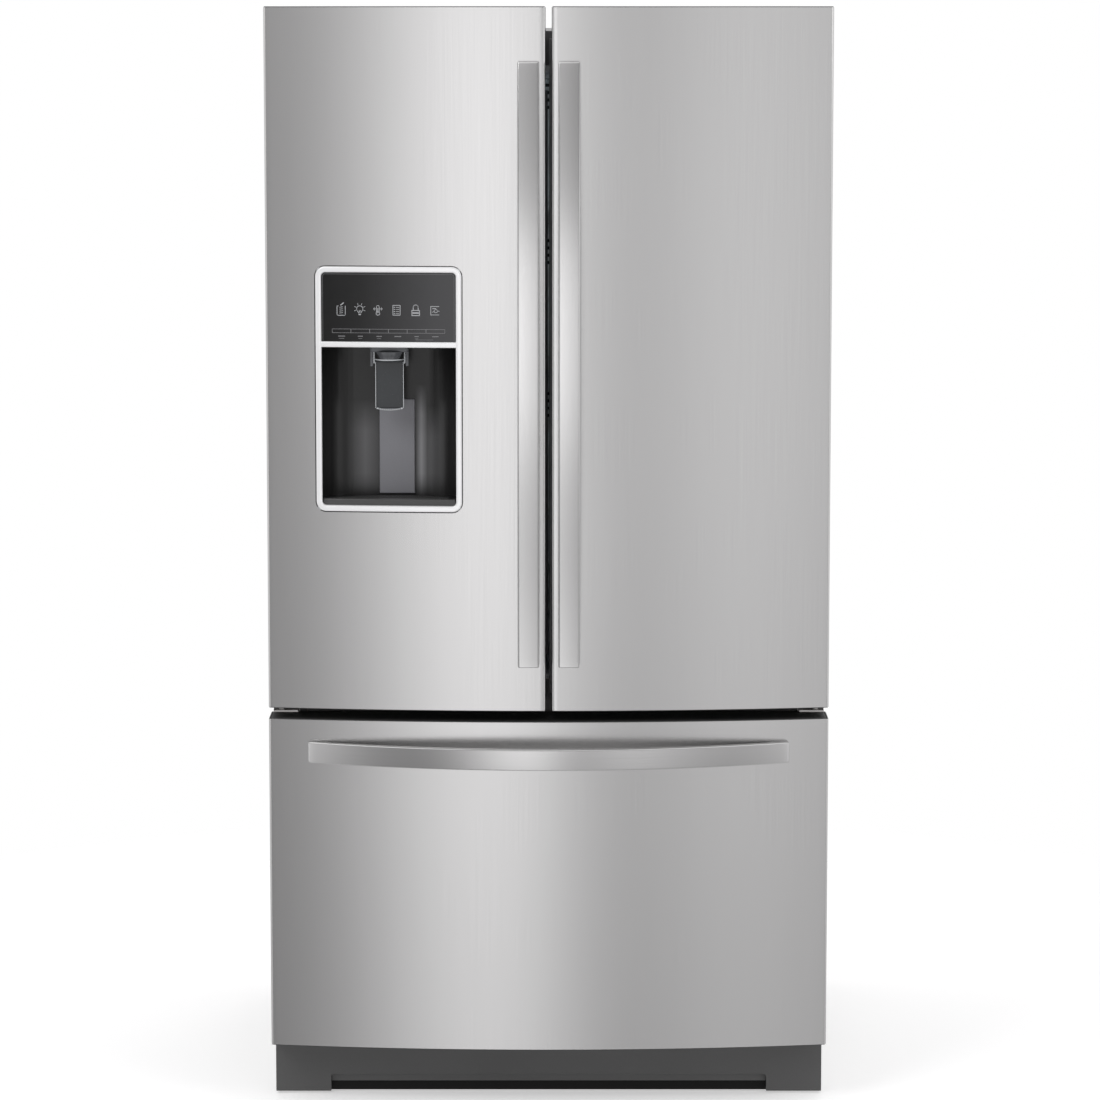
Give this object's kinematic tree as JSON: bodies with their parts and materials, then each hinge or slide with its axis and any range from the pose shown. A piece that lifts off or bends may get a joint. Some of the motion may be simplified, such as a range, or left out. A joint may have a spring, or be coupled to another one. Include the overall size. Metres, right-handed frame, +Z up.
{
  "type": "french door refrigerator",
  "caption": "Tall steel refrigerator with paired curved upper doors, a bottom freezer drawer, bar handles and an ice and water dispenser in one door.",
  "frame": {"origin": "on the floor, under the middle of the whole object's width and depth", "axes": "+Z up, the doors face -Y, +X towards the right-hand door seen from the front"},
  "size_m": [0.905, 0.907, 1.781],
  "materials": {
    "brushed_steel": "satin",
    "cabinet_paint": "satin",
    "foam": "matte",
    "white_liner": "satin",
    "clear_bin": "gloss",
    "shelf_glass": "gloss",
    "gasket_rubber": "matte",
    "dark_plastic": "satin",
    "black_glass": "gloss",
    "bezel_metal": "satin",
    "paddle_plastic": "gloss",
    "zinc_steel": "satin",
    "compressor_paint": "satin",
    "copper_tube": "satin",
    "grey_plastic": "matte",
    "black_nylon": "satin"
  },
  "bodies": {
    "cabinet": {"cabinet_wrapper": "cabinet_paint", "cabinet_insulation": "foam", "fridge_liner": "white_liner", "freezer_liner": "white_liner", "front_rail": "cabinet_paint", "front_sill": "cabinet_paint", "back_panel": "cabinet_paint", "machine_cover": "grey_plastic", "base_grille": "dark_plastic", "base_pan": "zinc_steel", "compressor": "compressor_paint", "condenser": "copper_tube", "fan_shroud": "grey_plastic", "shelf_lower_left": "shelf_glass", "shelf_lower_right": "shelf_glass", "shelf_upper_left": "shelf_glass", "shelf_upper_right": "shelf_glass", "crisper_cover": "shelf_glass", "crisper_left": "clear_bin", "crisper_right": "clear_bin", "evaporator_cover": "white_liner", "hinge_top_left": "zinc_steel", "hinge_top_right": "zinc_steel", "hinge_cover_left": "dark_plastic", "hinge_cover_right": "dark_plastic", "hinge_centre_left": "zinc_steel", "hinge_centre_right": "zinc_steel", "levelling_leg_left": "zinc_steel", "levelling_leg_right": "zinc_steel", "freezer_slide_left": "zinc_steel", "freezer_slide_right": "zinc_steel"},
    "left_door": {"left_door_skin": "brushed_steel", "left_door_liner": "white_liner", "left_door_gasket": "gasket_rubber", "left_door_handle": "brushed_steel", "dispenser_bezel": "bezel_metal", "dispenser_panel": "black_glass", "dispenser_housing": "dark_plastic", "dispenser_nozzle": "dark_plastic", "drip_tray": "dark_plastic", "left_door_bin": "clear_bin", "ice_bin": "white_liner"},
    "flip_mullion": {"flip_mullion": "cabinet_paint"},
    "dispenser_paddle": {"dispenser_paddle": "paddle_plastic"},
    "right_door": {"right_door_skin": "brushed_steel", "right_door_liner": "white_liner", "right_door_gasket": "gasket_rubber", "right_door_handle": "brushed_steel", "right_door_bin_lower": "clear_bin", "right_door_bin_middle": "clear_bin", "right_door_bin_upper": "clear_bin"},
    "freezer_drawer": {"freezer_skin": "brushed_steel", "freezer_drawer_liner": "white_liner", "freezer_gasket": "gasket_rubber", "freezer_handle": "brushed_steel", "drawer_carrier": "zinc_steel", "freezer_basket": "white_liner"},
    "condenser_fan": {"condenser_fan": "dark_plastic"},
    "roller_left": {"roller_left": "black_nylon"},
    "roller_right": {"roller_right": "black_nylon"}
  },
  "joints": [
    {"name": "left_door_swing", "type": "hinge", "parent": "cabinet", "child": "left_door", "pos_m": [-0.4325, -0.3295, 0.657], "axis": [0, 0, -1], "range_deg": [0, 120]},
    {"name": "right_door_swing", "type": "hinge", "parent": "cabinet", "child": "right_door", "pos_m": [0.4325, -0.3295, 0.657], "axis": [0, 0, 1], "range_deg": [0, 120]},
    {"name": "freezer_drawer_slide", "type": "slide", "parent": "cabinet", "child": "freezer_drawer", "axis": [0, -1, 0], "range_m": [0, 0.4]},
    {"name": "mullion_fold", "type": "hinge", "parent": "left_door", "child": "flip_mullion", "pos_m": [-0.0285, -0.2695, 0.73], "axis": [0, 0, 1], "range_deg": [0, 90]},
    {"name": "paddle_press", "type": "hinge", "parent": "left_door", "child": "dispenser_paddle", "pos_m": [-0.25525, -0.34272, 1.2158], "axis": [1, 0, 0], "range_deg": [0, 12], "stiffness_Nm_per_rad": 0.4},
    {"name": "fan_spin", "type": "hinge", "parent": "cabinet", "child": "condenser_fan", "pos_m": [-0.02, 0.3285, 0.1648], "axis": [1, 0, 0], "continuous": true},
    {"name": "roller_left_spin", "type": "hinge", "parent": "cabinet", "child": "roller_left", "pos_m": [-0.3945, 0.3935, 0.023], "axis": [1, 0, 0], "continuous": true},
    {"name": "roller_right_spin", "type": "hinge", "parent": "cabinet", "child": "roller_right", "pos_m": [0.3945, 0.3935, 0.023], "axis": [1, 0, 0], "continuous": true}
  ]
}
